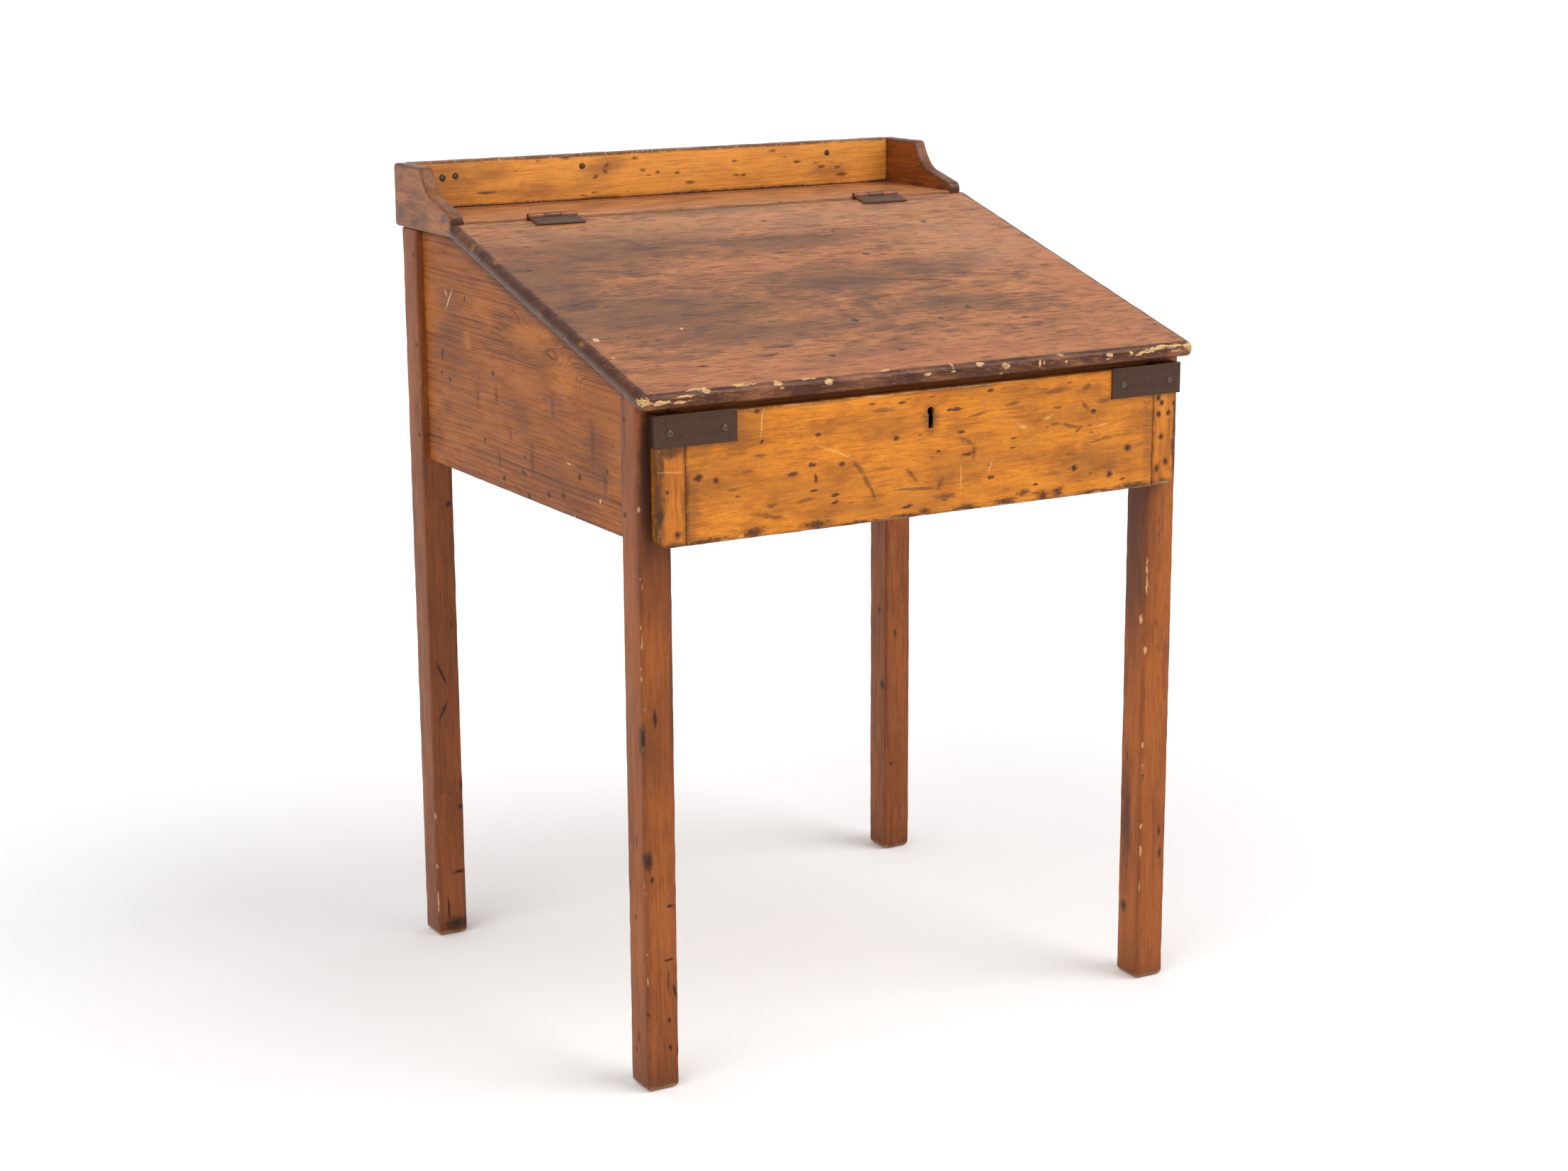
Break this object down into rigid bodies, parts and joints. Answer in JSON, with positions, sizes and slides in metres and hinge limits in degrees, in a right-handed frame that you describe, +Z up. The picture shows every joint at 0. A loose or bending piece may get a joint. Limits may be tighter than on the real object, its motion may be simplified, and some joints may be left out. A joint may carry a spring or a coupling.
{
  "type": "slant-top desk",
  "caption": "Slant-lid writing desk on tall square legs, with a hinged lid over a compartment, a lockable drawer with iron corner straps and a shelf with a low scrolled gallery.",
  "frame": {"origin": "on the floor, under the middle of the desk's box", "axes": "+Z up, +Y from the front to the back, +X from left to right as seen from the front"},
  "size_m": [0.702, 0.6359, 0.9503],
  "materials": {
    "red_pine": "old red-brown varnish, satin, worn at the edges",
    "amber_pine": "old amber varnish, satin, stained",
    "dark_pine": "dark worn varnish, semi-gloss",
    "bare_pine": "unfinished, aged",
    "dark_iron": "blackened, worn bright at the edges",
    "brown_steel": "brown patina"
  },
  "bodies": {
    "frame": {"leg_front_left": "red_pine", "leg_front_right": "red_pine", "leg_back_left": "red_pine", "leg_back_right": "red_pine", "side_panel_left": "red_pine", "side_panel_right": "red_pine", "back_panel": "red_pine", "top_rail": "bare_pine", "lower_rail": "bare_pine", "drawer_runner_left": "bare_pine", "drawer_runner_right": "bare_pine", "drawer_guide_left": "bare_pine", "drawer_guide_right": "bare_pine", "drawer_kicker_left": "bare_pine", "drawer_kicker_right": "bare_pine", "compartment_floor": "bare_pine", "shelf": "dark_pine", "gallery_back": "amber_pine", "gallery_end_left": "red_pine", "gallery_end_right": "red_pine", "hinge_shelf_leaf_left": "brown_steel", "hinge_shelf_leaf_right": "brown_steel", "hinge_pin_left": "brown_steel", "hinge_pin_right": "brown_steel", "hinge_shelf_screw_1": "brown_steel", "hinge_shelf_screw_2": "brown_steel", "hinge_shelf_screw_3": "brown_steel", "hinge_shelf_screw_4": "brown_steel"},
    "lid": {"lid_board": "dark_pine", "lid_batten_left": "bare_pine", "lid_batten_right": "bare_pine", "hinge_lid_leaf_left": "brown_steel", "hinge_lid_leaf_right": "brown_steel", "hinge_lid_screw_1": "brown_steel", "hinge_lid_screw_2": "brown_steel", "hinge_lid_screw_3": "brown_steel", "hinge_lid_screw_4": "brown_steel"},
    "drawer": {"drawer_front": "amber_pine", "drawer_clamp_left": "amber_pine", "drawer_clamp_right": "amber_pine", "corner_strap_left": "dark_iron", "corner_strap_right": "dark_iron", "drawer_side_left": "bare_pine", "drawer_side_right": "bare_pine", "drawer_back": "bare_pine", "drawer_bottom": "bare_pine", "lock_case": "dark_iron", "clamp_nail_1": "dark_iron", "clamp_nail_2": "dark_iron", "clamp_nail_3": "dark_iron", "clamp_nail_4": "dark_iron", "strap_screw_1": "dark_iron", "strap_screw_2": "dark_iron", "strap_screw_3": "dark_iron", "strap_screw_4": "dark_iron", "lock_screw_1": "dark_iron", "lock_screw_2": "dark_iron"},
    "lock_bolt": {"lock_bolt": "brown_steel"}
  },
  "joints": [
    {"name": "lid_hinge", "type": "hinge", "parent": "frame", "child": "lid", "pos_m": [0, 0.154, 0.8958], "axis": [-1, 0, 0], "range_deg": [0, 134]},
    {"name": "drawer_slide", "type": "slide", "parent": "frame", "child": "drawer", "axis": [0, -1, 0], "range_m": [0, 0.38]},
    {"name": "bolt_slide", "type": "slide", "parent": "drawer", "child": "lock_bolt", "axis": [0, 0, 1], "range_m": [0, 0.008]}
  ]
}
